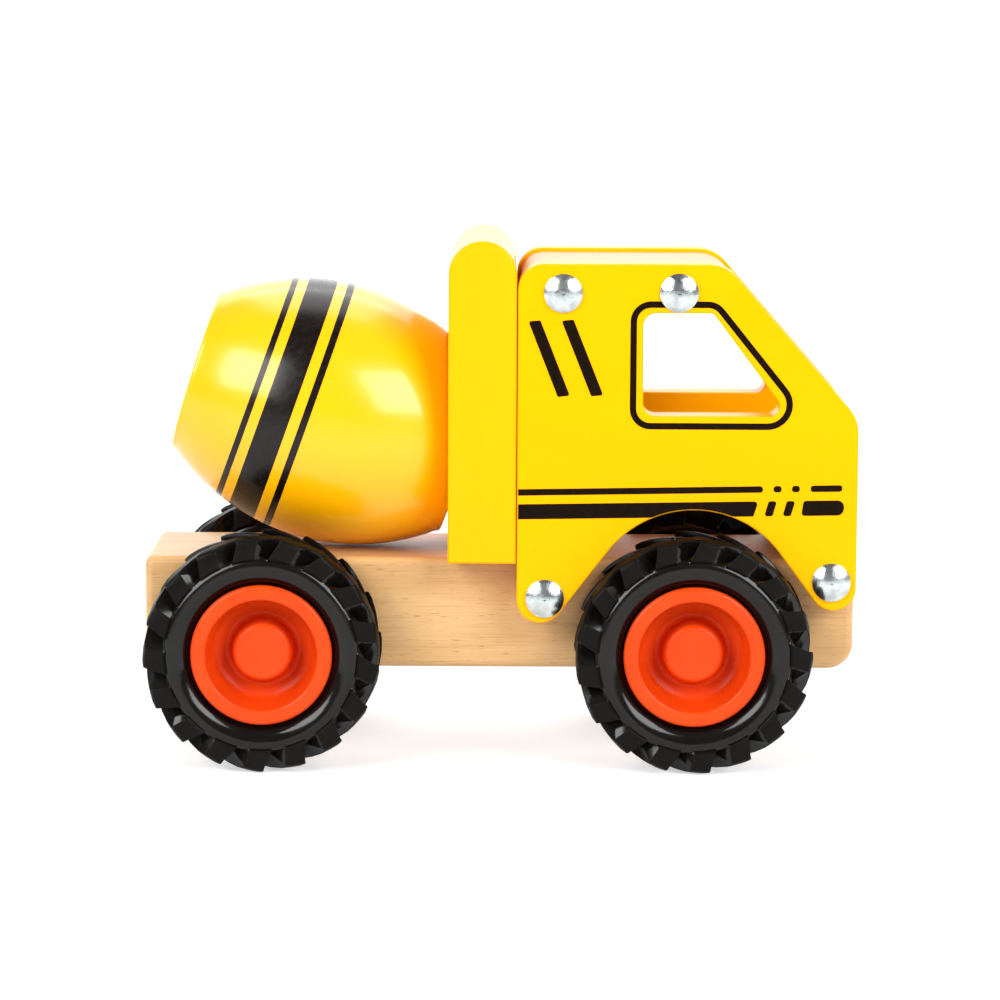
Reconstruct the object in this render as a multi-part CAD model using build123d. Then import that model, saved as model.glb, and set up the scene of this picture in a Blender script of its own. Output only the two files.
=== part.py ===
from build123d import *
import math
import os

# Toy cement mixer, in millimetres. The truck drives towards +X, +Y is its left side and
# +Z is up. The origin is on the ground under the middle of the chassis.

# Wheels
TYRE_RADIUS = 30.0
TYRE_WIDTH = 18.6
SIDEWALL_RADIUS = 24.0
BEAD_RADIUS = 19.4
RIM_SEAT_RADIUS = 16.8
LUGS_PER_SIDE = 17
LUG_TURN = 10.5
GROOVE_DEPTH = 4.6
GROOVE_LENGTH = 11.0
GROOVE_SLANT = 42.0
FLANGE_RADIUS = 17.8
RIM_WIDTH = 17.6
RECESS_OUTER_RADIUS = 14.1
RECESS_INNER_RADIUS = 8.2
RECESS_DEPTH = 10.0
BOSS_RADIUS = 7.4
BOSS_SETBACK = 5.0
HUB_RADIUS = 5.5
RIM_WALL = 2.2
REAR_AXLE_X = -59.8
FRONT_AXLE_X = 49.0

# Axles
AXLE_RADIUS = 2.5
AXLE_PLAY = 0.08
AXLE_IN_BOSS = 10.5
WASHER_RADIUS = 6.0
WASHER_THICKNESS = 1.0
WASHER_GAP = 0.3

# Chassis beam
CHASSIS_LENGTH = 181.0
CHASSIS_WIDTH = 44.0
CHASSIS_BOTTOM = 23.6
CHASSIS_TOP = 52.0
CHASSIS_EDGE_ROUND = 2.0
CHASSIS_END_ROUND = 6.5

# Board that carries the drum
BOARD_BACK_X = -13.2
BOARD_THICKNESS = 17.25
BOARD_WIDTH = 64.0
BOARD_TOP = 133.6
BOARD_EDGE_ROUND = 0.8
POCKET_CLEARANCE = 0.8

# Cab side panels
PANEL_THICKNESS = 10.0
PANEL_GAP_TO_BOARD = 0.25
PANEL_FRONT_X = 90.1
PANEL_TOP = 128.0
PANEL_EDGE_ROUND = 0.5
ROOF_REAR_ROUND = 6.6
ROOF_FRONT_ROUND = 10.0
ROOF_FRONT_X = 56.4
WINDSCREEN_ANGLE = 49.0
BONNET_ROUND = 10.0
REAR_LOBE_RADIUS = 6.0
REAR_LOBE_BOTTOM = 37.0
FRONT_LOBE_RADIUS = 5.8
FRONT_LOBE_BOTTOM = 40.5
ARCH_CENTRE = (48.9, 38.8)
ARCH_RADIUS = 27.2

# Side windows
WINDOW_REAR_X = 35.8
WINDOW_BOTTOM = 89.8
WINDOW_TOP = 115.7
WINDOW_TOP_FRONT_X = 53.2
WINDOW_PILLAR_ANGLE = 53.0
WINDOW_REAR_ROUND = 3.2
WINDOW_TOP_ROUND = 1.5
WINDOW_FRONT_ROUND = 2.6

# Blocks between the panels
BLOCK_SETBACK = 1.0
ROOF_BLOCK_HEIGHT = 11.0
BONNET_BACK_X = 66.0
BONNET_TOP = 80.0
BLOCK_EDGE_ROUND = 0.6

# Dome-head screws of the cab, as (x, z) on the side panels
DOME_RADIUS = 4.85
DOME_HEIGHT = 1.65
DOME_RIM = 0.5
DOME_SHANK_RADIUS = 1.8
DOME_SHANK_LENGTH = 24.0
DOME_POINTS = {
    "roof_rear": (15.6, 120.7),
    "roof_front": (44.6, 120.9),
    "base_rear": (11.4, 43.3),
    "base_front": (83.8, 47.8),
}

# Screws from below
BASE_SCREW_HEAD_RADIUS = 3.8
BASE_SCREW_HEAD_HEIGHT = 2.6
BASE_SCREW_RADIUS = 1.9
BASE_SCREW_SINK = 0.6
BASE_SCREW_LENGTH = 44.0
BASE_SCREW_Y = 12.0

# Drum, measured along its own axis from the open rear end
DRUM_CENTRE = (-44.1, 87.0)
DRUM_TILT = 17.6
DRUM_LENGTH = 72.8
DRUM_RADIUS = 33.5
DRUM_END_RADIUS = 20.5
DRUM_EDGE_ROUND = 1.0
MOUTH_RADIUS = 14.0
MOUTH_DEPTH = 46.0
MOUTH_EDGE_ROUND = 1.2
PIVOT_RADIUS = 2.5
PIVOT_PLAY = 0.08
PIVOT_HEAD_RADIUS = 5.0
PIVOT_HEAD_HEIGHT = 3.0
PIVOT_GRIP_LENGTH = 7.0
PIVOT_SLOT = 1.0
HEAD_WASHER_RADIUS = 7.0
SPACER_RADIUS = 8.0
SPACER_THICKNESS = 0.6
PIVOT_GAP = 0.1

# Derived places
CHASSIS_SIDE = CHASSIS_WIDTH / 2
PANEL_REAR_X = BOARD_BACK_X + BOARD_THICKNESS + PANEL_GAP_TO_BOARD
WHEEL_INNER_Y = CHASSIS_SIDE + WASHER_THICKNESS + 2 * WASHER_GAP
SIDES = {"right": -1, "left": 1}
AXLES = {"rear": REAR_AXLE_X, "front": FRONT_AXLE_X}

PARTS = {}


def side_plane(y):
    """Drawing plane at the given y, with X to the right and Z up on the sheet."""
    return Plane(origin=(0, y, 0), x_dir=(1, 0, 0), z_dir=(0, -1, 0))


def lathe(points):
    """Solid of revolution about Z from a closed outline of (radius, height) points."""
    outline = make_face(Polyline(*[(r, 0, z) for r, z in points], close=True))
    return revolve(outline, Axis.Z)


def disc(radius, height, hole_radius=0.0):
    """Round disc standing on the XY plane, with an optional hole."""
    points = [(hole_radius, 0), (radius, 0), (radius, height), (hole_radius, height)]
    return lathe(points)


def arch_tangent(lobe_centre, lobe_radius, side):
    """Ends of the straight run that touches the arch and then the lobe from opposite sides."""
    dx = lobe_centre[0] - ARCH_CENTRE[0]
    dz = lobe_centre[1] - ARCH_CENTRE[1]
    reach = math.asin((ARCH_RADIUS + lobe_radius) / math.hypot(dx, dz))
    heading = math.atan2(dz, dx) + side * reach
    normal = heading - side * math.pi / 2
    on_arch = (
        ARCH_CENTRE[0] + ARCH_RADIUS * math.cos(normal),
        ARCH_CENTRE[1] + ARCH_RADIUS * math.sin(normal),
    )
    on_lobe = (
        lobe_centre[0] - lobe_radius * math.cos(normal),
        lobe_centre[1] - lobe_radius * math.sin(normal),
    )
    return on_arch, on_lobe


def panel_outline():
    """Face of a cab side panel in its own plane, without the window."""
    slope = math.tan(math.radians(WINDSCREEN_ANGLE))
    bonnet_z = PANEL_TOP - (PANEL_FRONT_X - ROOF_FRONT_X) * slope
    rear_lobe = (PANEL_REAR_X + REAR_LOBE_RADIUS, REAR_LOBE_BOTTOM + REAR_LOBE_RADIUS)
    front_lobe = (PANEL_FRONT_X - FRONT_LOBE_RADIUS, FRONT_LOBE_BOTTOM + FRONT_LOBE_RADIUS)
    rear_arch, rear_touch = arch_tangent(rear_lobe, REAR_LOBE_RADIUS, 1)
    front_arch, front_touch = arch_tangent(front_lobe, FRONT_LOBE_RADIUS, -1)
    top = (ARCH_CENTRE[0], ARCH_CENTRE[1] + ARCH_RADIUS)
    crown = FilletPolyline(
        (PANEL_REAR_X, rear_lobe[1]),
        (PANEL_REAR_X, PANEL_TOP),
        (ROOF_FRONT_X, PANEL_TOP),
        (PANEL_FRONT_X, bonnet_z),
        (PANEL_FRONT_X, front_lobe[1]),
        radius=[ROOF_REAR_ROUND, ROOF_FRONT_ROUND, BONNET_ROUND],
    )
    front_bottom = TangentArc((PANEL_FRONT_X, front_lobe[1]), front_touch, tangent=(0, -1))
    arch = ThreePointArc(front_arch, top, rear_arch)
    rear_bottom = TangentArc((PANEL_REAR_X, rear_lobe[1]), rear_touch, tangent=(0, -1))
    runs = [Line(front_touch, front_arch), Line(rear_arch, rear_touch)]
    return make_face([crown, front_bottom, arch, rear_bottom, *runs])


def window_outline():
    """Face of the side window, with a leaning front edge."""
    slope = math.tan(math.radians(WINDOW_PILLAR_ANGLE))
    bottom_front_x = WINDOW_TOP_FRONT_X + (WINDOW_TOP - WINDOW_BOTTOM) / slope
    edge = FilletPolyline(
        (WINDOW_REAR_X, WINDOW_BOTTOM),
        (WINDOW_REAR_X, WINDOW_TOP),
        (WINDOW_TOP_FRONT_X, WINDOW_TOP),
        (bottom_front_x, WINDOW_BOTTOM),
        radius=[WINDOW_REAR_ROUND, WINDOW_REAR_ROUND, WINDOW_TOP_ROUND, WINDOW_FRONT_ROUND],
        close=True,
    )
    return make_face(edge)


def make_side_panels():
    """Two yellow boards that form the cab's sides, bolted to the chassis and the roof block."""
    sheet = extrude(side_plane(0) * panel_outline(), PANEL_THICKNESS / 2, both=True)
    sheet -= extrude(side_plane(0) * window_outline(), PANEL_THICKNESS, both=True)
    faces = sheet.faces().filter_by(Axis.Y)
    sheet = fillet(faces.edges(), PANEL_EDGE_ROUND)
    for place in DOME_POINTS.values():
        circle = side_plane(0) * (Pos(*place) * Circle(DOME_SHANK_RADIUS))
        sheet -= extrude(circle, PANEL_THICKNESS, both=True)
    for side, sign in SIDES.items():
        PARTS[f"cab_side_{side}"] = Pos(0, sign * (CHASSIS_SIDE + PANEL_THICKNESS / 2), 0) * sheet


def screw_bores():
    """Room for the eight dome-screw shanks, right across the truck."""
    holes = []
    for place in DOME_POINTS.values():
        for sign in SIDES.values():
            inner_y = sign * (CHASSIS_SIDE + PANEL_THICKNESS - DOME_SHANK_LENGTH)
            circle = side_plane(inner_y) * (Pos(*place) * Circle(DOME_SHANK_RADIUS))
            holes.append(extrude(circle, -sign * DOME_SHANK_LENGTH))
    return holes


def make_blocks():
    """Roof block and bonnet block, which keep the side panels apart."""
    recessed = offset(panel_outline(), -BLOCK_SETBACK)
    between = extrude(side_plane(0) * recessed, CHASSIS_SIDE, both=True)
    roof_low = PANEL_TOP - BLOCK_SETBACK - ROOF_BLOCK_HEIGHT
    corner = (Align.MIN, Align.CENTER, Align.MIN)
    roof_space = Pos(0, 0, roof_low) * Box(CHASSIS_LENGTH, CHASSIS_WIDTH, BOARD_TOP, align=corner)
    bonnet_space = Pos(BONNET_BACK_X, 0, CHASSIS_TOP) * Box(
        CHASSIS_LENGTH, CHASSIS_WIDTH, BONNET_TOP - CHASSIS_TOP, align=corner
    )
    roof = between & roof_space
    bonnet = between & bonnet_space
    roof = fillet(roof.edges().filter_by(Axis.Y).sort_by(Axis.Z)[:2], BLOCK_EDGE_ROUND)
    bonnet = fillet(bonnet.edges().filter_by(Axis.Y).sort_by(Axis.Z)[-2:], BLOCK_EDGE_ROUND)
    for hole in screw_bores():
        roof -= hole
    PARTS["roof_block"] = roof
    PARTS["bonnet_block"] = bonnet


def make_cab_screws():
    """Screws with smooth domed heads that hold the side panels."""
    dome_centre = (DOME_HEIGHT**2 - DOME_RADIUS**2) / (2 * DOME_HEIGHT) + DOME_RIM
    dome_ball = DOME_HEIGHT + DOME_RIM - dome_centre
    head = disc(DOME_RADIUS, DOME_HEIGHT + DOME_RIM) & (Pos(0, 0, dome_centre) * Sphere(dome_ball))
    shank_cut = DOME_SHANK_LENGTH - DOME_SHANK_RADIUS
    shank = lathe([(0, 0), (DOME_SHANK_RADIUS, 0), (DOME_SHANK_RADIUS, -shank_cut), (0, -DOME_SHANK_LENGTH)])
    screw = head + shank
    for side, sign in SIDES.items():
        outer_y = sign * (CHASSIS_SIDE + PANEL_THICKNESS)
        for name, (x, z) in DOME_POINTS.items():
            PARTS[f"cab_screw_{side}_{name}"] = Pos(x, outer_y, z) * Rot(-90 * sign, 0, 0) * screw


def base_screw_places():
    """Places (x, y) of the screws that come up through the chassis, by name."""
    board_x = BOARD_BACK_X + BOARD_THICKNESS / 2
    bonnet_x = (BONNET_BACK_X + PANEL_FRONT_X - BLOCK_SETBACK) / 2
    places = {}
    for side, sign in SIDES.items():
        places[f"board_screw_{side}"] = (board_x, sign * BASE_SCREW_Y)
        places[f"bonnet_screw_{side}"] = (bonnet_x, sign * BASE_SCREW_Y)
    return places


def base_screw_body():
    """Countersunk wood screw, point up, with its head's face on the XY plane."""
    shoulder = BASE_SCREW_LENGTH - 2 * BASE_SCREW_RADIUS
    return lathe(
        [
            (0, 0),
            (BASE_SCREW_HEAD_RADIUS, 0),
            (BASE_SCREW_RADIUS, BASE_SCREW_HEAD_HEIGHT),
            (BASE_SCREW_RADIUS, shoulder),
            (0, BASE_SCREW_LENGTH),
        ]
    )


def make_base_screws():
    """Four screws from below: two for the drum board, two for the bonnet block."""
    screw = base_screw_body()
    arm = BASE_SCREW_HEAD_RADIUS * 1.2
    slot = Box(arm, PIVOT_SLOT, PIVOT_SLOT) + Box(PIVOT_SLOT, arm, PIVOT_SLOT)
    for name, (x, y) in base_screw_places().items():
        PARTS[name] = Pos(x, y, CHASSIS_BOTTOM + BASE_SCREW_SINK) * (screw - slot)


def cut_base_screws(wood):
    """Take the room of the four screws from below out of a wooden piece."""
    sink = disc(BASE_SCREW_HEAD_RADIUS, BASE_SCREW_SINK)
    for x, y in base_screw_places().values():
        wood -= Pos(x, y, CHASSIS_BOTTOM + BASE_SCREW_SINK) * base_screw_body()
        wood -= Pos(x, y, CHASSIS_BOTTOM) * sink
    return wood


def make_chassis():
    """Wooden beam with rounded edges, two axle bores and screw holes."""
    height = CHASSIS_TOP - CHASSIS_BOTTOM
    beam = Pos(0, 0, CHASSIS_BOTTOM + height / 2) * Box(CHASSIS_LENGTH, CHASSIS_WIDTH, height)
    low_ends = beam.edges().filter_by(Axis.Y).sort_by(Axis.Z)[:2]
    beam = fillet(low_ends, CHASSIS_END_ROUND)
    beam = fillet(beam.edges(), CHASSIS_EDGE_ROUND)
    for x in AXLES.values():
        circle = side_plane(0) * (Pos(x, TYRE_RADIUS) * Circle(AXLE_RADIUS + AXLE_PLAY))
        beam -= extrude(circle, CHASSIS_WIDTH, both=True)
    for hole in screw_bores():
        beam -= hole
    PARTS["chassis"] = cut_base_screws(beam)


def drum_frame(distance):
    """Plane across the drum's axis, the given distance in from the rear face, facing forward."""
    tilt = math.radians(DRUM_TILT)
    along = (math.cos(tilt), 0, -math.sin(tilt))
    step = distance - DRUM_LENGTH / 2
    origin = (DRUM_CENTRE[0] + along[0] * step, 0, DRUM_CENTRE[1] + along[2] * step)
    return Plane(origin=origin, x_dir=(0, 1, 0), z_dir=along)


def barrel(extra):
    """Drum's outer shape about Z from its rear face, thickened by a clearance."""
    middle = DRUM_LENGTH / 2
    waist = (DRUM_RADIUS + extra, 0, middle)
    ends = [(DRUM_END_RADIUS + extra, 0, 0), (DRUM_END_RADIUS + extra, 0, DRUM_LENGTH)]
    side = ThreePointArc(ends[0], waist, ends[1])
    chain = Polyline(ends[1], (0, 0, DRUM_LENGTH), (0, 0, 0), ends[0])
    return revolve(make_face([side, chain]), Axis.Z)


def make_board():
    """Board with a full-round top, hollowed on its rear face for the drum's front end."""
    middle_x = BOARD_BACK_X + BOARD_THICKNESS / 2
    half = BOARD_THICKNESS / 2
    height = BOARD_TOP - half - CHASSIS_TOP
    post = Rectangle(BOARD_THICKNESS, height, align=(Align.CENTER, Align.MIN))
    outline = Pos(middle_x, CHASSIS_TOP) * (post + Pos(0, height) * Circle(half))
    board = extrude(side_plane(0) * outline, BOARD_WIDTH / 2, both=True)
    board = fillet(board.faces().filter_by(Axis.Y).edges(), BOARD_EDGE_ROUND)
    drum_room = barrel(POCKET_CLEARANCE) + Pos(0, 0, DRUM_LENGTH) * disc(
        DRUM_END_RADIUS + POCKET_CLEARANCE, SPACER_THICKNESS + PIVOT_GAP
    )
    board -= drum_frame(0).location * drum_room
    board -= drum_frame(DRUM_LENGTH).location * disc(PIVOT_RADIUS, PIVOT_GRIP_LENGTH)
    PARTS["drum_board"] = cut_base_screws(board)


def make_drum():
    """Turned wooden drum with a deep round mouth at the rear and a bore for the pivot."""
    shell = barrel(0)
    shell = fillet(shell.edges().filter_by(GeomType.CIRCLE), DRUM_EDGE_ROUND)
    shell -= disc(MOUTH_RADIUS, MOUTH_DEPTH)
    rear_edges = shell.edges().filter_by(GeomType.CIRCLE).group_by(Axis.Z)[0]
    shell = fillet(rear_edges.sort_by(SortBy.RADIUS)[0], MOUTH_EDGE_ROUND)
    shell -= disc(PIVOT_RADIUS + PIVOT_PLAY, DRUM_LENGTH)
    PARTS["drum"] = drum_frame(0).location * shell


def make_pivot():
    """Screw that the drum turns on, with a washer under its head and a spacer at the board."""
    head_base = MOUTH_DEPTH - PIVOT_GAP - WASHER_THICKNESS
    tip = DRUM_LENGTH + PIVOT_GRIP_LENGTH
    head_top = head_base - PIVOT_HEAD_HEIGHT
    screw = lathe(
        [
            (0, head_top),
            (PIVOT_HEAD_RADIUS - PIVOT_SLOT, head_top),
            (PIVOT_HEAD_RADIUS, head_top + PIVOT_SLOT),
            (PIVOT_HEAD_RADIUS, head_base),
            (PIVOT_RADIUS, head_base),
            (PIVOT_RADIUS, tip - PIVOT_RADIUS),
            (0, tip),
        ]
    )
    screw -= Pos(0, 0, head_top) * Box(3 * PIVOT_HEAD_RADIUS, PIVOT_SLOT, 2 * PIVOT_SLOT)
    washer = Pos(0, 0, head_base) * disc(HEAD_WASHER_RADIUS, WASHER_THICKNESS, PIVOT_RADIUS)
    spacer = Pos(0, 0, DRUM_LENGTH + PIVOT_GAP) * disc(SPACER_RADIUS, SPACER_THICKNESS, PIVOT_RADIUS)
    axis = drum_frame(0).location
    PARTS["drum_pivot_screw"] = axis * screw
    PARTS["pivot_head_washer"] = axis * washer
    PARTS["pivot_spacer_washer"] = axis * spacer


def tyre_body():
    """Tyre about Z, its inner face on the XY plane, with its lugs in a chevron pattern."""
    half = TYRE_WIDTH / 2
    shoulder = TYRE_RADIUS - 0.8
    profile = [
        (RIM_SEAT_RADIUS, 2.2 - half),
        (BEAD_RADIUS, 1.6 - half),
        (BEAD_RADIUS + 1.0, 0.6 - half),
        (SIDEWALL_RADIUS - 1.6, -half),
        (SIDEWALL_RADIUS, 0.4 - half),
        (shoulder - 1.2, 1.0 - half),
        (shoulder, 2.0 - half),
        (TYRE_RADIUS, 5.0 - half),
    ]
    mirrored = [(r, -z) for r, z in reversed(profile)]
    tyre = Pos(0, 0, half) * lathe(profile + mirrored)
    step = 360 / LUGS_PER_SIDE
    groove_width = 2 * math.pi * TYRE_RADIUS * (step - LUG_TURN) / 360
    reach = TYRE_RADIUS + GROOVE_DEPTH
    bar = Pos(reach - GROOVE_DEPTH, 0, 0) * Box(2 * GROOVE_DEPTH, groove_width, 2 * GROOVE_LENGTH)
    outer_groove = Pos(0, 0, TYRE_WIDTH) * Rot(-GROOVE_SLANT, 0, 0) * bar
    inner_groove = Rot(0, 0, step / 2) * Rot(GROOVE_SLANT, 0, 0) * bar
    cutters = []
    for index in range(LUGS_PER_SIDE):
        turn = Rot(0, 0, (index + 0.5) * step)
        cutters.append(turn * outer_groove)
        cutters.append(turn * inner_groove)
    return tyre - cutters


def rim_body():
    """Rim about Z, its outer face at the top, with a flange, a sloping recess and a closed boss."""
    face = RIM_WIDTH
    boss_top = face - BOSS_SETBACK
    recess_floor = face - RECESS_DEPTH
    lip = FLANGE_RADIUS - RIM_SEAT_RADIUS
    outline = [
        (AXLE_RADIUS, 0),
        (HUB_RADIUS, 0),
        (HUB_RADIUS, recess_floor - RIM_WALL),
        (RECESS_INNER_RADIUS, recess_floor - RIM_WALL),
        (RECESS_OUTER_RADIUS, face - 1.5 * RIM_WALL),
        (RECESS_OUTER_RADIUS, 0),
        (FLANGE_RADIUS, 0),
        (FLANGE_RADIUS, 1.2 * lip),
        (RIM_SEAT_RADIUS, 1.7 * lip),
        (RIM_SEAT_RADIUS, face - 1.7 * lip),
        (FLANGE_RADIUS, face - 1.2 * lip),
        (FLANGE_RADIUS, face - 0.5 * lip),
        (FLANGE_RADIUS - 0.5 * lip, face),
        (RECESS_OUTER_RADIUS, face),
        (RECESS_INNER_RADIUS, recess_floor),
        (BOSS_RADIUS, boss_top - lip),
        (BOSS_RADIUS - lip, boss_top),
        (0, boss_top),
        (0, AXLE_IN_BOSS),
        (AXLE_RADIUS, AXLE_IN_BOSS),
    ]
    return lathe(outline)


def make_wheels():
    """Four wheels, two axles that turn with them, and the washers beside the chassis."""
    tyre = tyre_body()
    rim = rim_body()
    washer = disc(WASHER_RADIUS, WASHER_THICKNESS, AXLE_RADIUS + AXLE_PLAY)
    rim_inset = (TYRE_WIDTH - RIM_WIDTH) / 2
    rim_inner_y = WHEEL_INNER_Y + rim_inset
    lug_down = Rot(0, 0, -90)
    for end, x in AXLES.items():
        circle = side_plane(0) * (Pos(x, TYRE_RADIUS) * Circle(AXLE_RADIUS))
        PARTS[f"axle_{end}"] = extrude(circle, rim_inner_y + AXLE_IN_BOSS, both=True)
        to_right = Pos(x, 0, TYRE_RADIUS) * Rot(90, 0, 0)
        wheel_parts = {
            "tyre": to_right * Pos(0, 0, WHEEL_INNER_Y) * lug_down * tyre,
            "rim": to_right * Pos(0, 0, rim_inner_y) * rim,
            "axle_washer": to_right * Pos(0, 0, CHASSIS_SIDE + WASHER_GAP) * washer,
        }
        for name, piece in wheel_parts.items():
            PARTS[f"{name}_{end}_right"] = piece
            PARTS[f"{name}_{end}_left"] = mirror(piece, about=Plane.XZ)


make_side_panels()
make_blocks()
PARTS["bonnet_block"] = cut_base_screws(PARTS["bonnet_block"])
make_cab_screws()
make_base_screws()
make_chassis()
make_board()
make_drum()
make_pivot()
make_wheels()

os.makedirs("parts", exist_ok=True)
for node, solid in PARTS.items():
    export_step(solid, f"parts/{node}.step")
print(len(PARTS), "parts written")
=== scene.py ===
import math

import bmesh
import bpy
from mathutils import Matrix, Vector


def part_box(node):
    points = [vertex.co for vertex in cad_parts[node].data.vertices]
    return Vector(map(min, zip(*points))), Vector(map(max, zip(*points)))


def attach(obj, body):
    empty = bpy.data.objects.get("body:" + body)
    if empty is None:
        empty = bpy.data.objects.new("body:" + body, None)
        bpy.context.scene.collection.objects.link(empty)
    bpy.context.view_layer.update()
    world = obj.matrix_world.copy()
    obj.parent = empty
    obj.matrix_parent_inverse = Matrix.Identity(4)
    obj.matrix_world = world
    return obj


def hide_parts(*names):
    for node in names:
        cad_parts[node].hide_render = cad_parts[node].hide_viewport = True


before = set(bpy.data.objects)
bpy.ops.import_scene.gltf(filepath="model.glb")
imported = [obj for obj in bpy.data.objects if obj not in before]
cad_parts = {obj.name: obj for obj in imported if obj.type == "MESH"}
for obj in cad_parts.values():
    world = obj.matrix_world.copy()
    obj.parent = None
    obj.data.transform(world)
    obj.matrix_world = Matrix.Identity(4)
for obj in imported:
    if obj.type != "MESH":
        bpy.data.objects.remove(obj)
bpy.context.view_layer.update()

# Toy cement mixer around its CAD frame. The truck drives towards +X, its right side faces -Y and the
# ground is z = 0. The object's lengths are millimetres until place() turns them into metres; the
# studio's lengths are metres.

MM = 0.001
ARC_STEP = math.radians(9)
SIDES = {"right": -1, "left": 1}

# Wheels, from the axle outward; depths are measured from the tyre's middle plane
TYRE_HALF = 9.3
RIM_HALF = 8.8
LUGS = 17
PITCH = 360 / LUGS
LUG_SWEEP = 20.5
SWEEP_START = 8.6
LUG_PHASES = {"rear": -8.9, "front": -16.3}
AXLE_RADIUS = 2.5

# Drum, measured along its axis from the open rear end
DRUM_TILT = 17.6
DRUM_LENGTH = 72.8
DRUM_RADIUS = 33.5
DRUM_END_RADIUS = 20.5
DRUM_EDGE_ROUND = 1.0
MOUTH_RADIUS = 14.0
MOUTH_DEPTH = 46.0
PIVOT_BORE = 2.58
DRUM_STRIPES = [(15.05, 16.65), (19.2, 26.4), (29.1, 30.95)]
# The stripes were painted a little askew: mm they slide along the axis, in the middle, at the drum's
# top and at its right side
STRIPE_SHIFT = 0.5
STRIPE_TILT_UP = 1.2
STRIPE_TILT_RIGHT = 0.7
STRIPE_ZONE = (4, 60)

# Printed decoration on the cab's side panels, as (x, z)
INK_THICKNESS = 0.035
FRAME_WIDTH = 1.63
WINDOW_FRAME = [(32.46, 86.52, 5.2), (32.46, 118.79, 5.2), (54.34, 118.79, 5.2), (80.37, 86.52, 6.36)]
SLASHES = [
    [(6.9, 113.6), (9.9, 113.9), (17.4, 94.95), (14.35, 94.6)],
    [(15.2, 113.8), (18.2, 114.1), (25.8, 95.1), (22.75, 94.8)],
]
ARCH_CENTRE = (48.9, 38.8)
ARCH_RADIUS = 27.2


def rounded(corners):
    """Closed outline through (x, y, radius) corners, each corner rounded by its radius."""
    outline = []
    for index, (x, y, radius) in enumerate(corners):
        here = Vector((x, y))
        back = (Vector(corners[index - 1][:2]) - here).normalized()
        ahead = (Vector(corners[(index + 1) % len(corners)][:2]) - here).normalized()
        half = back.angle(ahead) / 2
        if radius == 0:
            outline.append(here)
            continue
        centre = here + (back + ahead).normalized() * radius / math.sin(half)
        first = here + back * radius / math.tan(half) - centre
        turn = math.copysign(math.pi - 2 * half, back.cross(ahead)) * -1
        steps = max(2, round(abs(turn) / ARC_STEP))
        for step in range(steps + 1):
            outline.append(centre + Matrix.Rotation(turn * step / steps, 2) @ first)
    return outline


def inset(corners, distance):
    """Corners of a closed clockwise outline moved inward, with their radii reduced to match."""
    moved = []
    for index, (x, y, radius) in enumerate(corners):
        here = Vector((x, y))
        back = (Vector(corners[index - 1][:2]) - here).normalized()
        ahead = (Vector(corners[(index + 1) % len(corners)][:2]) - here).normalized()
        half = back.angle(ahead) / 2
        spot = here + (back + ahead).normalized() * distance / math.sin(half)
        moved.append((spot.x, spot.y, max(radius - distance, 0)))
    return moved


def place(name, mesh, materials, body, stands_for=(), sharp=32):
    """Link a finished mesh, given in millimetres in the row frame, as a piece of the object."""
    mesh.transform(Matrix.Scale(MM, 4))
    for material in materials:
        mesh.materials.append(material)
    mesh.shade_smooth()
    mesh.set_sharp_from_angle(angle=math.radians(sharp))
    piece = bpy.data.objects.new(name, mesh)
    bpy.context.scene.collection.objects.link(piece)
    even = piece.modifiers.new("even_normals", "WEIGHTED_NORMAL")
    even.keep_sharp = True
    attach(piece, body)
    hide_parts(*stands_for)
    return piece


def finish_mesh(name, form):
    """Turn a closed bmesh into a mesh whose faces point outward."""
    bmesh.ops.remove_doubles(form, verts=form.verts, dist=1e-5)
    bmesh.ops.recalc_face_normals(form, faces=form.faces)
    mesh = bpy.data.meshes.new(name)
    form.to_mesh(mesh)
    form.free()
    return mesh


def band(form, rows, material_of=lambda row, column: 0):
    """Faces between successive closed rows of vertices."""
    for row, (lower, upper) in enumerate(zip(rows, rows[1:])):
        for column in range(len(lower)):
            after = (column + 1) % len(lower)
            face = form.faces.new((lower[column], lower[after], upper[after], upper[column]))
            face.material_index = material_of(row, column)


def lathe(name, profile, to_row, turns=144, reshape=None):
    """Solid of revolution about local Z from (radius, height, material) points; the outline is closed.

    reshape moves single points: it turns (radius, height, angle) into (radius, height).
    """
    form = bmesh.new()
    rows = []
    for radius, height, _ in profile:
        if radius == 0:
            rows.append([form.verts.new(to_row @ Vector((0, 0, height)))] * turns)
            continue
        ring = []
        for step in range(turns):
            angle = 2 * math.pi * step / turns
            wide, far = reshape(radius, height, angle) if reshape else (radius, height)
            spot = Vector((wide * math.cos(angle), wide * math.sin(angle), far))
            ring.append(form.verts.new(to_row @ spot))
        rows.append(ring)
    for index, lower in enumerate(rows):
        upper = rows[(index + 1) % len(rows)]
        for step in range(turns):
            after = (step + 1) % turns
            corners = list(dict.fromkeys((lower[step], lower[after], upper[after], upper[step])))
            if len(corners) > 2:
                form.faces.new(corners).material_index = profile[index][2]
    return finish_mesh(name, form)


# ---------------------------------------------------------------- materials


def linear(red, green, blue):
    """Colour of the shader from the familiar 0-255 values."""
    channels = []
    for value in (red, green, blue):
        share = value / 255
        channels.append(share / 12.92 if share <= 0.04045 else ((share + 0.055) / 1.055) ** 2.4)
    return (*channels, 1.0)


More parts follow.
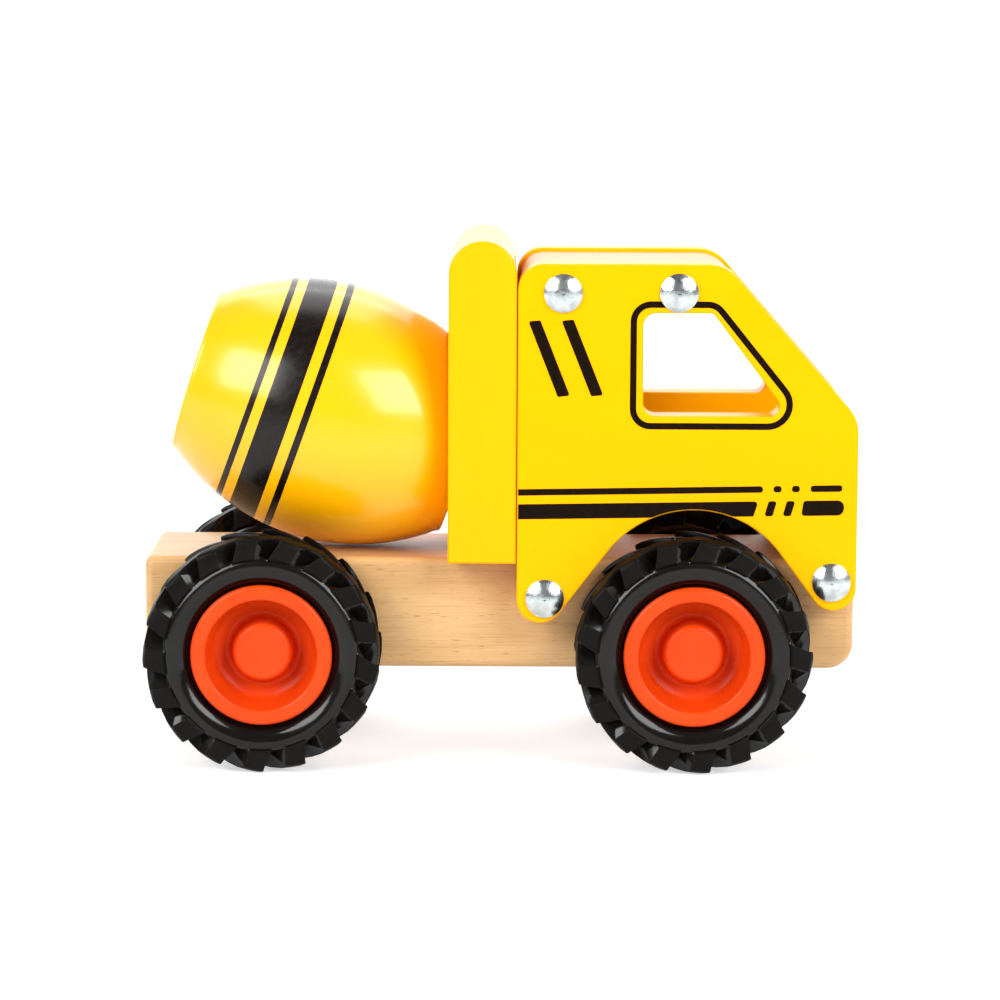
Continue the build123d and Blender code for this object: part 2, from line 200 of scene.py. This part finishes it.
class Surface:
    """One procedural material under construction, with its pattern coordinates in millimetres."""

    def __init__(self, name):
        self.material = bpy.data.materials.new(name)
        self.material.use_nodes = True
        self.tree = self.material.node_tree
        self.shader = self.tree.nodes["Principled BSDF"]
        self.coordinates = self.tree.nodes.new("ShaderNodeTexCoord")
        self.last_bump = None

    def node(self, kind, **values):
        made = self.tree.nodes.new(kind)
        for key, value in values.items():
            setattr(made, key, value)
        return made

    def link(self, source, target):
        self.tree.links.new(source, target)

    def stretched(self, lengths):
        """Coordinates in which one unit is the given length in mm along x, y and z."""
        mapping = self.node("ShaderNodeMapping")
        mapping.inputs["Scale"].default_value = [1 / (MM * length) for length in lengths]
        self.link(self.coordinates.outputs["Object"], mapping.inputs["Vector"])
        return mapping.outputs["Vector"]

    def noise(self, lengths, detail=2.0, roughness=0.5, distortion=0.0):
        made = self.node("ShaderNodeTexNoise")
        self.link(self.stretched(lengths), made.inputs["Vector"])
        made.inputs["Scale"].default_value = 1.0
        made.inputs["Detail"].default_value = detail
        made.inputs["Roughness"].default_value = roughness
        made.inputs["Distortion"].default_value = distortion
        return made.outputs["Fac"]

    def ramp(self, source, stops):
        """Colour ramp from two (position, colour) stops."""
        made = self.node("ShaderNodeValToRGB")
        for element, (position, colour) in zip(made.color_ramp.elements, stops):
            element.position = position
            element.color = colour
        self.link(source, made.inputs["Fac"])
        return made.outputs["Color"]

    def spread(self, source, low, high, out_low, out_high):
        """Map a pattern's values between low and high to a clamped output range."""
        made = self.node("ShaderNodeMapRange")
        self.link(source, made.inputs["Value"])
        made.inputs["From Min"].default_value = low
        made.inputs["From Max"].default_value = high
        made.inputs["To Min"].default_value = out_low
        made.inputs["To Max"].default_value = out_high
        return made.outputs["Result"]

    def mix(self, share, first, second):
        """Blend two colours; share, first and second are sockets or values."""
        made = self.node("ShaderNodeMix", data_type="RGBA")
        for socket, value in ((0, share), (6, first), (7, second)):
            if isinstance(value, bpy.types.NodeSocket):
                self.link(value, made.inputs[socket])
            else:
                made.inputs[socket].default_value = value
        return made.outputs[2]

    def colour(self, source):
        self.link(source, self.shader.inputs["Base Color"])

    def roughness(self, source):
        self.link(source, self.shader.inputs["Roughness"])

    def bump(self, source, height):
        """Add relief of the given height in mm."""
        made = self.node("ShaderNodeBump")
        made.inputs["Strength"].default_value = 1.0
        made.inputs["Distance"].default_value = height * MM
        self.link(source, made.inputs["Height"])
        if self.last_bump is not None:
            self.link(self.last_bump, made.inputs["Normal"])
        self.last_bump = made.outputs["Normal"]
        self.link(self.last_bump, self.shader.inputs["Normal"])

    def set(self, **values):
        for key, value in values.items():
            self.shader.inputs[key.replace("_", " ").title().replace("Ior", "IOR")].default_value = value


def along(axis, length, across):
    """Pattern lengths of a grain that runs along one axis."""
    lengths = [across, across, across]
    lengths["xyz".index(axis)] = length
    return lengths


def make_wood(name, axis, light, middle, dark, fleck):
    """Smooth sanded beech: broad tone changes, fine fibres and short darker flecks."""
    wood = Surface(name)
    tone = wood.noise(along(axis, 90, 9), detail=3, roughness=0.55, distortion=0.4)
    base = wood.ramp(tone, [(0.3, middle), (0.62, light)])
    fibres = wood.noise(along(axis, 22, 0.55), detail=3, roughness=0.6)
    base = wood.mix(wood.spread(fibres, 0.5, 0.72, 0, 0.55), base, dark)
    flecks = wood.noise(along(axis, 3.2, 0.32), detail=1)
    base = wood.mix(wood.spread(flecks, 0.66, 0.74, 0, 0.5), base, fleck)
    wood.colour(base)
    wood.roughness(wood.spread(fibres, 0.3, 0.7, 0.42, 0.56))
    wood.bump(fibres, 0.035)
    wood.bump(flecks, 0.012)
    wood.set(coat_weight=0.12, coat_roughness=0.35)
    return wood.material


def make_lacquer(name, axis, colour, shade, rough_low, rough_high, gloss, coat, grain):
    """Glossy yellow paint over wood; the relief of the wood's fibres, grain mm deep, shows through."""
    paint = Surface(name)
    tone = paint.noise(along(axis, 70, 14), detail=2)
    base = paint.ramp(tone, [(0.3, shade), (0.7, colour)])
    paint.colour(base)
    fibres = paint.noise(along(axis, 26, 0.8), detail=3, roughness=0.6)
    paint.roughness(paint.spread(fibres, 0.3, 0.7, rough_low, rough_high))
    paint.bump(fibres, grain)
    orange_peel = paint.noise((2.4, 2.4, 2.4), detail=1)
    paint.bump(orange_peel, 0.008)
    paint.set(coat_weight=coat, coat_roughness=0.12, specular_ior_level=gloss)
    return paint.material


def make_ink(name, colour, edge, rough_low, rough_high, gloss):
    """Dark print with the slightly uneven cover of a screen-printed layer."""
    ink = Surface(name)
    cover = ink.noise((1.6, 1.6, 1.6), detail=4, roughness=0.65)
    ink.colour(ink.ramp(cover, [(0.35, colour), (0.75, edge)]))
    ink.roughness(ink.spread(cover, 0.3, 0.7, rough_low, rough_high))
    ink.bump(cover, 0.006)
    ink.set(specular_ior_level=gloss)
    return ink.material


def make_rubber(name, rough_low, rough_high, gloss):
    """Black moulded tyre with a fine moulded grain and slightly greyer patches."""
    made = Surface(name)
    patches = made.noise((7, 7, 7), detail=4, roughness=0.6)
    grain = made.noise((0.45, 0.45, 0.45), detail=2)
    made.colour(made.ramp(patches, [(0.3, linear(9, 8, 7)), (0.75, linear(16, 14, 13))]))
    made.roughness(made.spread(patches, 0.3, 0.7, rough_low, rough_high))
    made.bump(grain, 0.008)
    made.bump(patches, 0.02)
    made.set(specular_ior_level=gloss)
    return made.material


def make_rim_plastic():
    """Orange moulded plastic with faint flow marks."""
    plastic = Surface("rim_plastic_detail")
    flow = plastic.noise((9, 9, 9), detail=2)
    grain = plastic.noise((0.6, 0.6, 0.6), detail=2)
    plastic.colour(plastic.ramp(flow, [(0.3, linear(206, 59, 8)), (0.7, linear(213, 65, 10))]))
    plastic.roughness(plastic.spread(grain, 0.3, 0.7, 0.28, 0.36))
    plastic.bump(grain, 0.006)
    plastic.bump(flow, 0.015)
    plastic.set(specular_ior_level=0.18)
    return plastic.material


def make_metal(name, light, dark, rough_low, rough_high, dents):
    """Plated metal with cloudy tarnish and fine unevenness."""
    metal = Surface(name)
    clouds = metal.noise((3.2, 3.2, 3.2), detail=4, roughness=0.6)
    metal.colour(metal.ramp(clouds, [(0.3, dark), (0.7, light)]))
    metal.roughness(metal.spread(clouds, 0.3, 0.7, rough_low, rough_high))
    ripples = metal.noise((1.1, 1.1, 1.1), detail=3, roughness=0.55)
    metal.bump(ripples, dents)
    metal.set(metallic=1.0)
    return metal.material


BEECH_TONES = (linear(202, 162, 108), linear(190, 146, 92), linear(168, 124, 74), linear(140, 97, 54))
wood_lengthwise = make_wood("beech_lengthwise", "x", *BEECH_TONES)
wood_crosswise = make_wood("beech_crosswise", "y", *BEECH_TONES)
PANEL_YELLOW = linear(250, 170, 0)
PANEL_SHADE = linear(248, 167, 0)
DRUM_YELLOW = linear(250, 177, 0)
DRUM_SHADE = linear(248, 173, 0)
panel_paint = make_lacquer(
    "yellow_panel_lacquer", "x", PANEL_YELLOW, PANEL_SHADE, 0.26, 0.32, gloss=0.04, coat=0.03, grain=0.005
)
board_paint = make_lacquer(
    "yellow_board_lacquer", "z", PANEL_YELLOW, PANEL_SHADE, 0.26, 0.32, gloss=0.08, coat=0.05, grain=0.008
)
drum_paint = make_lacquer(
    "yellow_drum_lacquer", "x", DRUM_YELLOW, DRUM_SHADE, 0.22, 0.28, gloss=0.4, coat=0.22, grain=0.01
)
print_ink = make_ink("print_ink", linear(16, 8, 3), linear(26, 15, 8), 0.34, 0.46, 0.05)
drum_inside = make_wood("beech_drum_inside", "x", *BEECH_TONES)
drum_ink = make_ink("drum_ink", linear(12, 7, 5), linear(22, 15, 12), 0.2, 0.3, 0.3)
rubber = make_rubber("tyre_rubber_matt", 0.4, 0.5, 0.1)
glossy_rubber = make_rubber("tyre_rubber_glossy", 0.1, 0.18, 0.3)
rim_plastic = make_rim_plastic()
zinc = make_metal("zinc_dome_detail", linear(222, 230, 230), linear(168, 178, 178), 0.16, 0.26, 0.07)
plated = make_metal("plated_steel_detail", linear(210, 208, 200), linear(176, 172, 160), 0.22, 0.36, 0.02)
axle_steel = make_metal("axle_steel_detail", linear(176, 178, 182), linear(140, 142, 148), 0.25, 0.4, 0.015)

# ---------------------------------------------------------------- carried CAD nodes

# Material of each carried node, by the start of its name
CARRIED = {
    "chassis": wood_lengthwise,
    "roof_block": wood_lengthwise,
    "bonnet_block": wood_crosswise,
    "drum_board": board_paint,
    "cab_side": panel_paint,
    "cab_screw": zinc,
    "axle_front": axle_steel,
    "axle_rear": axle_steel,
    "board_screw": plated,
    "bonnet_screw": plated,
    "drum_pivot_screw": plated,
    "pivot_": plated,
    "axle_washer": plated,
}
for node_name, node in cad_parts.items():
    for start, material in CARRIED.items():
        if node_name.startswith(start):
            node.data.materials[0] = material

# ---------------------------------------------------------------- wheels

# Rows across the tyre's near half, from the sidewall to the middle plane, as (radius, depth) of the
# lugs' tops and of the grooves' floors
LUG_ROWS = [
    ((24.3, 8.85), (24.35, 8.45)),
    ((24.75, 9.3), (24.55, 8.0)),
    ((26.6, 9.3), (24.8, 7.4)),
    ((28.6, 9.26), (25.1, 6.7)),
    ((29.3, 9.05), (25.5, 6.0)),
    ((29.8, 8.5), (25.9, 5.2)),
    ((30.0, 7.2), (26.3, 4.4)),
    ((29.95, 5.0), (26.7, 3.3)),
    ((29.75, 2.6), (27.0, 1.9)),
    ((29.6, 0.12), (27.2, 0.12)),
]
# Smooth ring inside the lugs, from the bead outward
SIDEWALL = [
    (16.9, 4.8), (17.9, 5.2), (18.35, 6.2), (18.75, 7.0), (19.3, 7.75), (20.0, 8.35),
    (20.8, 8.75), (21.6, 8.98), (22.4, 9.08), (23.1, 9.05), (23.7, 8.88), (24.1, 8.6),
]
# Edges of a lug in degrees from its centre, at its inner and outer ends, and where it turns from
# one to the other
LUG_INNER = (-8.2, 5.2)
LUG_OUTER = (-3.0, 7.2)
WIDEN_START = 24
WIDEN_SPAN = 5
# Columns of one lug: its flat top is split at these shares, its edges are cut off over LUG_CHAMFER
# degrees, and a groove's foot takes GROOVE_FOOT degrees twice
LUG_SHARES = (0.25, 0.5, 0.75)
LUG_CHAMFER = 0.6
LUG_COLUMNS = 6
GROOVE_FOOT = 0.8
# Shares of the way down into the groove: on a lug's cut edge, the most that still counts as its
# top, and at the groove's foot
EDGE_SHARE = 0.06
LUG_TOP_SHARE = 0.1
FOOT_SHARE = 0.92
# A lug's top falls by LUG_DROOP mm from one edge to the other, outside DROOP_RADIUS
LUG_DROOP = 0.6
DROOP_RADIUS = 28.4
LUG_SHARP = 38


def lug_columns(radius, depth, shift):
    """Angles in degrees of the two edges of a lug, at a place on its surface."""
    lean = min(max((radius - WIDEN_START) / WIDEN_SPAN, 0), 1)
    sweep = LUG_SWEEP * max(0, 1 - depth / SWEEP_START)
    start, end = (inner + (outer - inner) * lean for inner, outer in zip(LUG_INNER, LUG_OUTER))
    return start + sweep + shift, end + sweep + shift


def lug_row(top, floor, shift):
    """(angle, radius, depth) of each column round the wheel, for one row of lugs and grooves.

    Each column lies at a share of the way from the lugs' top (0) to the grooves' floor (1).
    """
    row = []
    for lug in range(LUGS):
        start, end = lug_columns(top[0], top[1], shift + lug * PITCH)
        low_start, low_end = lug_columns(top[0], floor[1], shift + lug * PITCH)
        next_start = low_start + PITCH
        stops = [(start, EDGE_SHARE), (start + LUG_CHAMFER, 0)]
        stops += [(start + (end - start) * share, 0) for share in LUG_SHARES]
        stops += [(end - LUG_CHAMFER, 0), (end, EDGE_SHARE)]
        stops += [(low_end + GROOVE_FOOT, FOOT_SHARE), (low_end + 2 * GROOVE_FOOT, 1)]
        stops += [((low_end + next_start) / 2, 1)]
        stops += [(next_start - 2 * GROOVE_FOOT, 1), (next_start - GROOVE_FOOT, FOOT_SHARE)]
        for angle, share in stops:
            radius, depth = (high + (low - high) * share for high, low in zip(top, floor))
            if share < LUG_TOP_SHARE:
                drooping = max(0, min(radius - DROOP_RADIUS, 1))
                radius -= LUG_DROOP * (angle - start) / (end - start) * drooping
            row.append((angle, radius, depth))
    return row


def tyre_mesh(name, centre, outward, phase):
    """Tyre with slanted lugs on both halves, offset by half a pitch, as one closed grid."""
    form = bmesh.new()
    half_rows = [lug_row(point, point, phase) for point in SIDEWALL]
    half_rows += [lug_row(top, floor, phase) for top, floor in LUG_ROWS]
    columns = len(half_rows[0])
    turn = columns // LUGS // 2
    rows = list(half_rows)
    for row in reversed(half_rows):
        far = [(angle + PITCH / 2, radius, -depth) for angle, radius, depth in row]
        rows.append(far[-turn:] + far[:-turn])
    verts = []
    ribbed = range(len(SIDEWALL), len(rows) - len(SIDEWALL) - 1)
    for row in rows:
        ring = []
        for angle, radius, depth in row:
            radians = math.radians(angle)
            spot = Vector((radius * math.sin(radians), outward * depth, radius * math.cos(radians)))
            ring.append(form.verts.new(centre + spot))
        verts.append(ring)

    def finish_of(row, column):
        """Matt rubber on the lugs and glossy rubber in the grooves and on the sidewalls."""
        if row not in ribbed:
            return 1
        lug = row + 1 < len(rows) // 2 and column % (columns // LUGS) < LUG_COLUMNS
        far = row >= len(rows) // 2 and (column - turn) % (columns // LUGS) < LUG_COLUMNS
        return 0 if lug or far else 1

    band(form, verts + verts[:1], finish_of)
    return finish_mesh(name, form)


def rim_profile():
    """Outline of the rim as (radius, depth, material), from the boss face round to the hub.

    The corners are (radius, depth, rounding).
    """
    corners = [
        (0.0, 3.8, 0),
        (7.3, 3.8, 1.5),
        (8.3, -2.6, 1.2),
        (12.7, -0.6, 1.8),
        (14.1, RIM_HALF, 0.8),
        (17.8, RIM_HALF, 1.1),
        (17.8, 7.6, 0.2),
        (16.8, 7.1, 0.2),
        (16.8, -7.1, 0.2),
        (17.8, -7.6, 0.2),
        (17.8, -RIM_HALF, 0.5),
        (14.1, -RIM_HALF, 0.5),
        (15.0, 5.5, 0.5),
        (13.6, -2.4, 0.5),
        (8.4, -4.4, 0.3),
        (5.5, -4.4, 0.2),
        (5.5, -RIM_HALF, 0.3),
        (AXLE_RADIUS, -RIM_HALF, 0.2),
        (AXLE_RADIUS, 1.7, 0),
        (0.0, 1.7, 0),
    ]
    return [(spot.x, spot.y, 0) for spot in rounded(corners)]


def make_wheels():
    for end, phase in LUG_PHASES.items():
        for side, sign in SIDES.items():
            name = f"{end}_{side}"
            low, high = (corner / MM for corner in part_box(f"tyre_{name}"))
            centre = (low + high) / 2
            body = f"{end}_wheels"
            mesh = tyre_mesh(f"tyre_{name}_shape", centre, sign, phase)
            materials = [rubber, glossy_rubber]
            node = f"tyre_{name}"
            place(f"{node}_moulded", mesh, materials, body, [node], sharp=LUG_SHARP)
            to_row = Matrix.Translation(centre) @ Matrix.Rotation(-sign * math.pi / 2, 4, "X")
            mesh = lathe(f"rim_{name}_shape", rim_profile(), to_row)
            place(f"rim_{name}_moulded", mesh, [rim_plastic], body, [f"rim_{name}"])


# ---------------------------------------------------------------- drum


# Material numbers of the drum's outline; paint reaches LIP_DEPTH mm into the mouth
PAINTED, INKED, INSIDE = range(3)
LIP_DEPTH = 3.0
# Rows along the barrel keep ROW_SPACE mm from a stripe's edges, which are rows too
BARREL_STEPS = 44
EDGE_STEPS = 6
ROW_SPACE = 0.5
DRUM_TURNS = 192


def barrel_radius(height):
    """Radius of the drum's outside at a height along its axis, an arc between the two ends."""
    middle = DRUM_LENGTH / 2
    bulge = DRUM_RADIUS - DRUM_END_RADIUS
    arc = (middle**2 + bulge**2) / (2 * bulge)
    return DRUM_RADIUS - arc + math.sqrt(arc**2 - (height - middle) ** 2)


def quarter_round(radius, outward):
    """Rounded edge of the rear end, down from its end face: the barrel's (1) or the mouth's (-1)."""
    size = DRUM_EDGE_ROUND
    edge = []
    for step in range(EDGE_STEPS):
        angle = step / EDGE_STEPS * math.pi / 2
        turned = radius + outward * size * (math.sin(angle) - 1)
        edge.append((turned, size * (1 - math.cos(angle)), PAINTED))
    return edge


def drum_profile():
    """Barrel outline: rear end, painted outside with its stripes, front end, pivot bore and mouth."""
    painted = DRUM_LENGTH - 2 * DRUM_EDGE_ROUND
    heights = {DRUM_EDGE_ROUND + painted * step / BARREL_STEPS for step in range(BARREL_STEPS + 1)}
    for low, high in DRUM_STRIPES:
        apart = {height for height in heights if min(abs(height - low), abs(height - high)) > ROW_SPACE}
        heights = apart | {low, high}
    outside = []
    for height in sorted(heights):
        inked = any(low <= height < high for low, high in DRUM_STRIPES)
        outside.append((barrel_radius(height), height, INKED if inked else PAINTED))
    rear = quarter_round(barrel_radius(DRUM_EDGE_ROUND), 1)
    front = [(radius, DRUM_LENGTH - height, PAINTED) for radius, height, _ in reversed(rear)]
    front[-1] = (*front[-1][:2], INSIDE)
    bore = [(PIVOT_BORE, DRUM_LENGTH, INSIDE), (PIVOT_BORE, MOUTH_DEPTH, INSIDE)]
    inside = [(MOUTH_RADIUS, MOUTH_DEPTH, INSIDE), (MOUTH_RADIUS, LIP_DEPTH, PAINTED)]
    lip = quarter_round(MOUTH_RADIUS, -1)
    return rear + outside + front + bore + inside + list(reversed(lip))


def lean_stripes(radius, height, angle):
    """Slide the drum's painted outside along its axis, as the stripes were painted a little askew."""
    first, last = STRIPE_ZONE
    if radius < DRUM_END_RADIUS or not first < height < last:
        return radius, height
    middle = sum(DRUM_STRIPES[1]) / 2
    weight = (height - first) / (middle - first) if height < middle else (last - height) / (last - middle)
    slide = STRIPE_SHIFT - STRIPE_TILT_UP * math.cos(angle) - STRIPE_TILT_RIGHT * math.sin(angle)
    moved = height + slide * min(1, 2 * weight)
    return barrel_radius(moved), moved


def make_drum():
    low, high = (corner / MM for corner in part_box("drum"))
    centre = (low + high) / 2
    tilt = Matrix.Rotation(math.radians(90 + DRUM_TILT), 4, "Y")
    to_row = Matrix.Translation(centre) @ tilt @ Matrix.Translation((0, 0, -DRUM_LENGTH / 2))
    mesh = lathe("drum_shape", drum_profile(), to_row, turns=DRUM_TURNS, reshape=lean_stripes)
    materials = [drum_paint, drum_ink, drum_inside]
    place("drum_turned", mesh, materials, "mixer_drum", ["drum"])


# ---------------------------------------------------------------- printed decoration


def flat_print(form, outline, face_y, sign, hole=None):
    """Thin closed layer of ink standing on a panel face, from (x, z) outlines."""
    loops = [outline] + ([hole] if hole else [])
    layers = []
    for height in (0, INK_THICKNESS):
        layer = []
        for loop in loops:
            layer.append([form.verts.new((x, face_y + sign * height, z)) for x, z in loop])
        layers.append(layer)
    for low_loop, high_loop in zip(*layers):
        band(form, [low_loop, high_loop])
    for layer in layers:
        edges = []
        for loop in layer:
            for index, vert in enumerate(loop):
                edge = form.edges.get((vert, loop[(index + 1) % len(loop)]))
                edges.append(edge)
        bmesh.ops.triangle_fill(form, use_beauty=True, use_dissolve=False, edges=edges)


def bar(x_start, x_end, z_low, z_high, lean=0.0, radii=(0, 0, 0, 0)):
    """Corners of a climbing stripe with their roundings; lean slides its upper edge forward."""
    corners = [(x_start, z_low), (x_start + lean, z_high), (x_end + lean, z_high), (x_end, z_low)]
    return [(x, z + CLIMB * (x - PANEL_REAR_X), radius) for (x, z), radius in zip(corners, radii)]


PANEL_REAR_X = (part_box("cab_side_right")[0] / MM).x

# Stripes: heights hold at the panel's rear edge, and CLIMB is their rise per mm forward
STRIPE_START = PANEL_REAR_X + 0.25
CLIMB = 0.0174
THIN_ROW = (69.55, 71.17)
THIN_END = 66.2
THIN_MARKS = [(68.75, 70.8), (73.4, 75.4), (78.1, 86.1)]
THICK_ROW = (63.5, 67.32)
THICK_END = 63.9
THICK_MARKS = [(66.6, 68.7), (71.2, 73.3)]
LAST_THICK_MARK = (75.9, 86.4)
ARCH_MARGIN = 0.3
ARCH_STEPS = 80


def thick_stripe():
    """Long thick stripe whose lower edge gives way to the wheel arch."""
    corners = bar(STRIPE_START, THICK_END, *THICK_ROW, lean=1.2, radii=(0, 0, 0.8, 0.3))
    corners[1] = (STRIPE_START, *corners[1][1:])
    outline = rounded(corners)
    low_start, low_end = outline[0], outline[-1]
    reach = ARCH_RADIUS + ARCH_MARGIN
    for step in range(1, ARCH_STEPS):
        spot = low_end.lerp(low_start, step / ARCH_STEPS)
        across = abs(spot.x - ARCH_CENTRE[0])
        if across < reach:
            spot.y = max(spot.y, ARCH_CENTRE[1] + math.sqrt(reach**2 - across**2))
        outline.append(spot)
    return outline


def print_outlines():
    """Outlines of every printed mark except the window frame."""
    marks = [rounded([(x, z, 0.5) for x, z in slash]) for slash in SLASHES]
    marks.append(rounded(bar(STRIPE_START, THIN_END, *THIN_ROW, radii=(0, 0, 0.75, 0.75))))
    marks.append(thick_stripe())
    for mark in THIN_MARKS:
        marks.append(rounded(bar(*mark, *THIN_ROW, lean=0.2, radii=[0.72] * 4)))
    for mark in THICK_MARKS:
        marks.append(rounded(bar(*mark, *THICK_ROW, lean=1.1, radii=[0.6] * 4)))
    marks.append(rounded(bar(*LAST_THICK_MARK, *THICK_ROW, lean=0.6, radii=(0.8, 0.8, 1.7, 1.7))))
    return marks


def make_prints():
    for side, sign in SIDES.items():
        box_low, box_high = (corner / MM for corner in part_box(f"cab_side_{side}"))
        face_y = box_low.y if sign < 0 else box_high.y
        form = bmesh.new()
        for outline in print_outlines():
            flat_print(form, outline, face_y, sign)
        opening = rounded(inset(WINDOW_FRAME, FRAME_WIDTH))
        flat_print(form, rounded(WINDOW_FRAME), face_y, sign, hole=opening)
        mesh = finish_mesh(f"print_{side}_shape", form)
        place(f"cab_print_{side}", mesh, [print_ink], "truck")


make_wheels()
make_drum()
make_prints()

# ---------------------------------------------------------------- studio

FLOOR_HALF = 6.0
FLOOR_FRONT = -8.0
FLOOR_BACK = 1.6
SWEEP_RADIUS = 0.8
SWEEP_STEPS = 12
WALL_TOP = 3.0

# The table glows under the object, less in front of it, and most far behind and far in front; each
# change of glow runs between two depths along Y
TABLE_EDGE = (-0.45, -0.27)
BACKDROP_START = (0.5, 1.1)
DISTANCE_START = (-2.4, -1.6)
FRONT_GLOW = 0.05
TABLE_GLOW = 0.55
BACKDROP_GLOW = 1.3

# Soft lights as (name, azimuth, elevation, distance, size, power), aimed at AIM
AIM = Vector((0, 0, 0.07))
SOFTBOXES = [
    ("softbox_left", -45, 29, 1.3, 0.75, 17),
    ("softbox_right", 44, 28, 1.3, 0.75, 17),
    ("softbox_back", 180, 62, 1.3, 0.9, 7),
]
WORLD_STRENGTH = 0.2
CAMERA_PLACE = (0, -0.983139, 0.203536)
CAMERA_DOWN = 8.085
CAMERA_ROLL = 0.28
CAMERA_LENS = 137.29


def make_floor():
    """White sweep: a floor that curves up into the back wall."""
    form = bmesh.new()
    section = [(FLOOR_FRONT, 0.0), (FLOOR_BACK, 0.0)]
    for step in range(1, SWEEP_STEPS + 1):
        angle = step / SWEEP_STEPS * math.pi / 2
        rise = SWEEP_RADIUS * (1 - math.cos(angle))
        section.append((FLOOR_BACK + SWEEP_RADIUS * math.sin(angle), rise))
    section.append((FLOOR_BACK + SWEEP_RADIUS, WALL_TOP))
    rows = [[form.verts.new((x, y, z)) for x in (-FLOOR_HALF, FLOOR_HALF)] for y, z in section]
    for lower, upper in zip(rows, rows[1:]):
        form.faces.new((lower[0], lower[1], upper[1], upper[0]))
    mesh = bpy.data.meshes.new("studio_floor")
    form.to_mesh(mesh)
    form.free()
    mesh.shade_smooth()
    paper = Surface("studio_paper")
    paper.roughness(paper.spread(paper.noise((60, 60, 60)), 0.3, 0.7, 0.75, 0.85))
    paper.set(base_color=(0.5, 0.5, 0.5, 1.0), emission_color=(1, 1, 1, 1))
    split = paper.node("ShaderNodeSeparateXYZ")
    paper.link(paper.coordinates.outputs["Object"], split.inputs["Vector"])
    depth = split.outputs["Y"]
    glow = paper.spread(depth, *TABLE_EDGE, FRONT_GLOW, TABLE_GLOW)
    backdrop = paper.spread(depth, *BACKDROP_START, 0, BACKDROP_GLOW)
    distance = paper.spread(depth, *DISTANCE_START, BACKDROP_GLOW, 0)
    for zone in (backdrop, distance):
        total = paper.node("ShaderNodeMath", operation="ADD")
        paper.link(glow, total.inputs[0])
        paper.link(zone, total.inputs[1])
        glow = total.outputs["Value"]
    paper.link(glow, paper.shader.inputs["Emission Strength"])
    mesh.materials.append(paper.material)
    floor = bpy.data.objects.new("studio_floor", mesh)
    bpy.context.scene.collection.objects.link(floor)


def add_softbox(name, azimuth, elevation, distance, size, power):
    """Square light aimed at the object; azimuth 0 is in front of the right side, positive towards +X."""
    light = bpy.data.lights.new(name, "AREA")
    light.shape = "SQUARE"
    light.size = size
    light.energy = power
    lamp = bpy.data.objects.new(name, light)
    bpy.context.scene.collection.objects.link(lamp)
    side, up = math.radians(azimuth), math.radians(elevation)
    outward = Vector((math.sin(side) * math.cos(up), -math.cos(side) * math.cos(up), math.sin(up)))
    lamp.location = AIM + outward * distance
    lamp.rotation_euler = outward.to_track_quat("Z", "Y").to_euler()


def make_world():
    world = bpy.data.worlds.new("studio_world")
    world.use_nodes = True
    background = world.node_tree.nodes["Background"]
    background.inputs["Color"].default_value = (1, 1, 1, 1)
    background.inputs["Strength"].default_value = WORLD_STRENGTH
    bpy.context.scene.world = world
    bpy.context.scene.view_settings.view_transform = "Standard"


def make_camera():
    """Long lens a little above the object, on its right side."""
    data = bpy.data.cameras.new("camera")
    data.sensor_width = 36
    data.lens = CAMERA_LENS
    data.clip_start = 0.01
    data.clip_end = 50
    camera = bpy.data.objects.new("camera", data)
    bpy.context.scene.collection.objects.link(camera)
    down, roll = math.radians(CAMERA_DOWN), math.radians(CAMERA_ROLL)
    turn = Matrix.Rotation(math.pi / 2 - down, 3, "X") @ Matrix.Rotation(roll, 3, "Z")
    camera.matrix_world = Matrix.Translation(CAMERA_PLACE) @ turn.to_4x4()
    bpy.context.scene.camera = camera


make_floor()
for softbox in SOFTBOXES:
    add_softbox(*softbox)
make_world()
make_camera()
